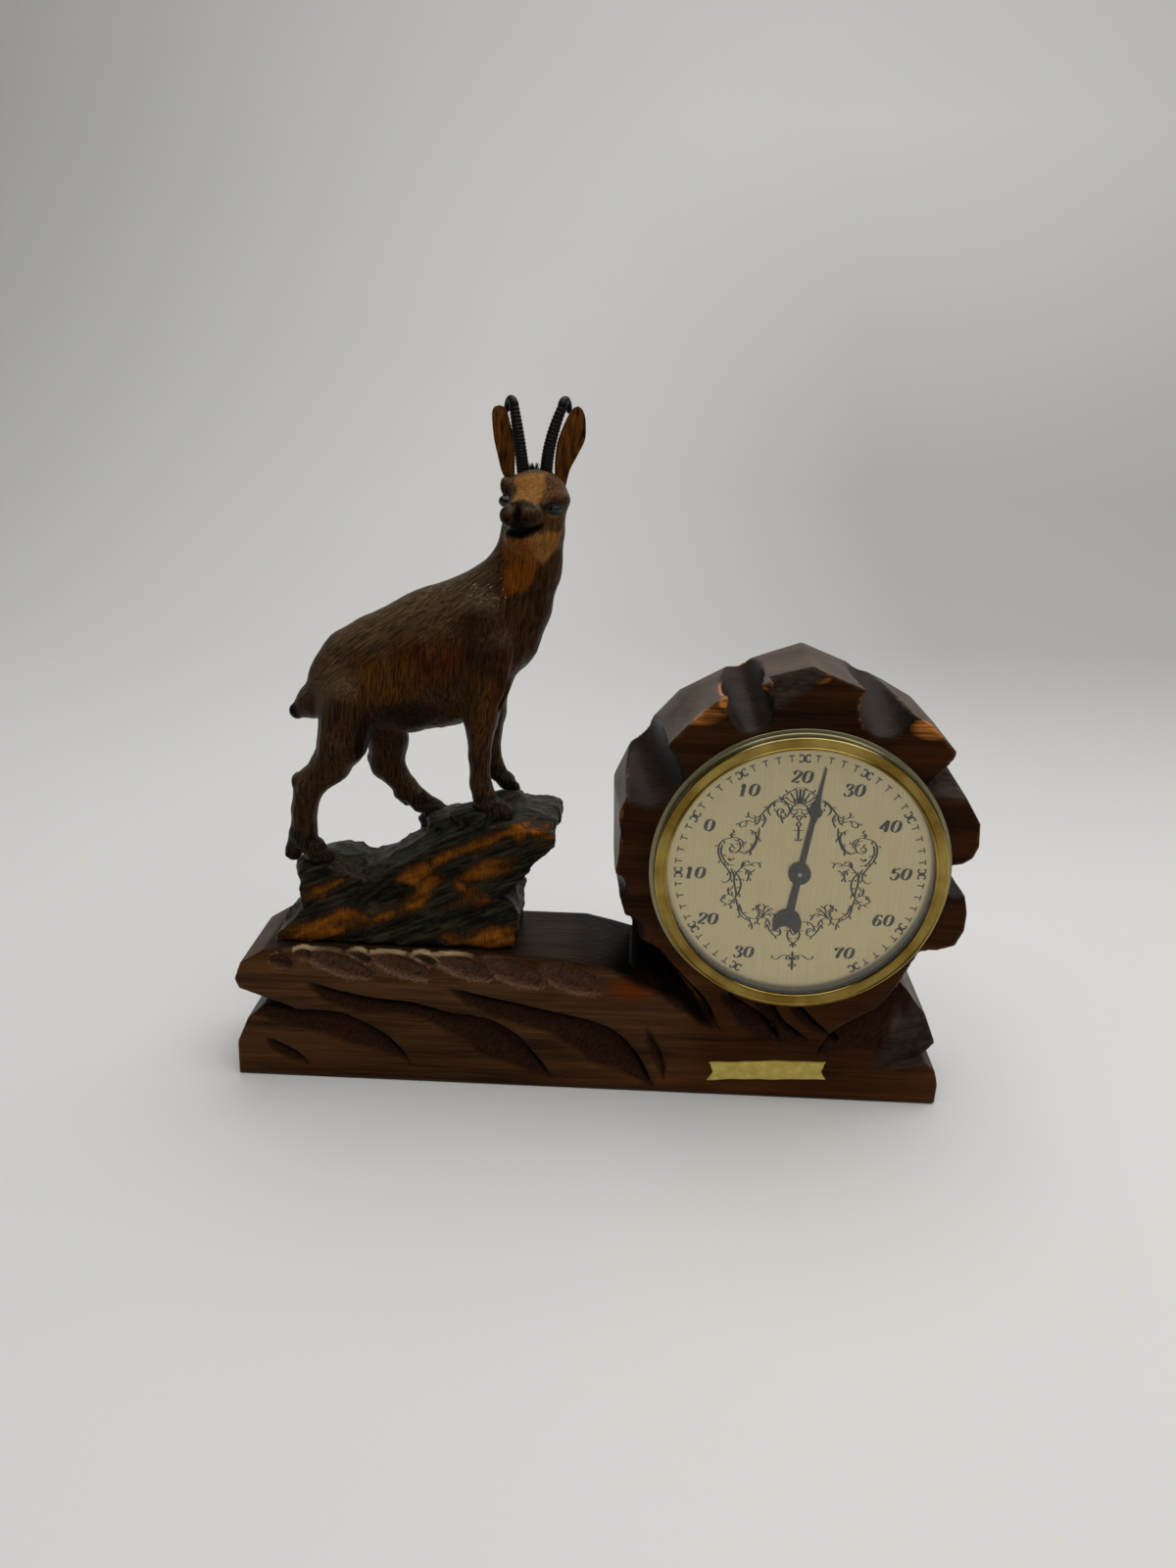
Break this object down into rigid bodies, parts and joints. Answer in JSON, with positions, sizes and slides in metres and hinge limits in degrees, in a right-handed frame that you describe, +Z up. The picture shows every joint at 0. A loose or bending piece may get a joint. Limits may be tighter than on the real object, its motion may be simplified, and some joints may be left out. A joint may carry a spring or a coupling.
{
  "type": "carved wooden desk thermometer",
  "caption": "Carved wooden stand with a chamois on a rock and a round bimetal dial thermometer set in its housing.",
  "frame": {"origin": "middle of the base board's underside, halfway between its ends and its faces", "axes": "+X right along the base, +Y from the dial's face towards the back, +Z up"},
  "size_m": [0.1846, 0.0317, 0.1715],
  "materials": {
    "stand_wood": "stained and lacquered",
    "figure_wood": "stained and varnished",
    "ear_wood": "stained and varnished",
    "horn_black": "black lacquer",
    "label_yellow": "varnished",
    "bezel_brass": "satin brass",
    "crystal_glass": "clear",
    "spacer_dark": "dull olive grey",
    "dial_metal": "brushed, pale gold",
    "cup_metal": "drawn, plain",
    "brass": "turned",
    "bimetal": "rolled strip",
    "steel": "bright",
    "hand_lacquer": "dark purple-brown lacquer"
  },
  "bodies": {
    "root": {"carved_stand": "stand_wood", "chamois_carving": "figure_wood", "horn_left": "horn_black", "horn_right": "horn_black", "ear_left": "ear_wood", "ear_right": "ear_wood", "ribbon_label": "label_yellow", "figure_screws": "steel", "bezel": "bezel_brass", "crystal": "crystal_glass", "dial_spacer": "spacer_dark", "dial_plate": "dial_metal", "insert_cup": "cup_metal", "pivot_bridge": "brass", "bridge_rivets": "cup_metal", "front_bushing": "brass", "rear_bushing": "brass", "coil_post": "brass", "bimetal_coil": "bimetal"},
    "pointer_works": {"pointer": "hand_lacquer", "pointer_collet": "hand_lacquer", "pointer_arbor": "steel", "coil_collet": "brass"}
  },
  "joints": [
    {"name": "pointer_turn", "type": "hinge", "parent": "root", "child": "pointer_works", "pos_m": [0.0514, -0.014, 0.064], "axis": [0, 1, 0], "range_deg": [-160.5, 139.5], "stiffness_Nm_per_rad": 0.0002}
  ]
}
